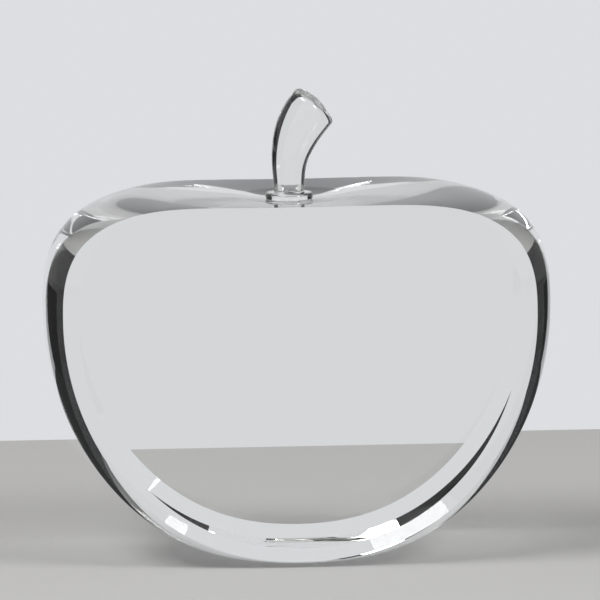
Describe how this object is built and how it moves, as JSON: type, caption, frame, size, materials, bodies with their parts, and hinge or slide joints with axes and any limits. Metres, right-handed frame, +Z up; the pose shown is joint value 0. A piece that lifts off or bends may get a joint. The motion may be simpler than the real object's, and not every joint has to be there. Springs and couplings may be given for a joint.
{
  "type": "glass apple paperweight",
  "caption": "Clear crystal apple paperweight, sliced to flat bevelled faces front and back, with a bent glass stem bonded into a seat in its top dimple.",
  "frame": {"origin": "middle of the flat base, on the table the apple stands on", "axes": "+Z up, +X across the flat faces towards the side the stem leans to, +Y square to the flat faces, away from a viewer of the front face"},
  "size_m": [0.1, 0.0404, 0.0917],
  "materials": {
    "apple_body": "polished clear crystal",
    "stem": "fire-polished clear glass",
    "stem_bond": "clear cured adhesive"
  },
  "bodies": {
    "root": {"apple_body": "apple_body", "stem": "stem", "stem_bond": "stem_bond"}
  },
  "joints": []
}
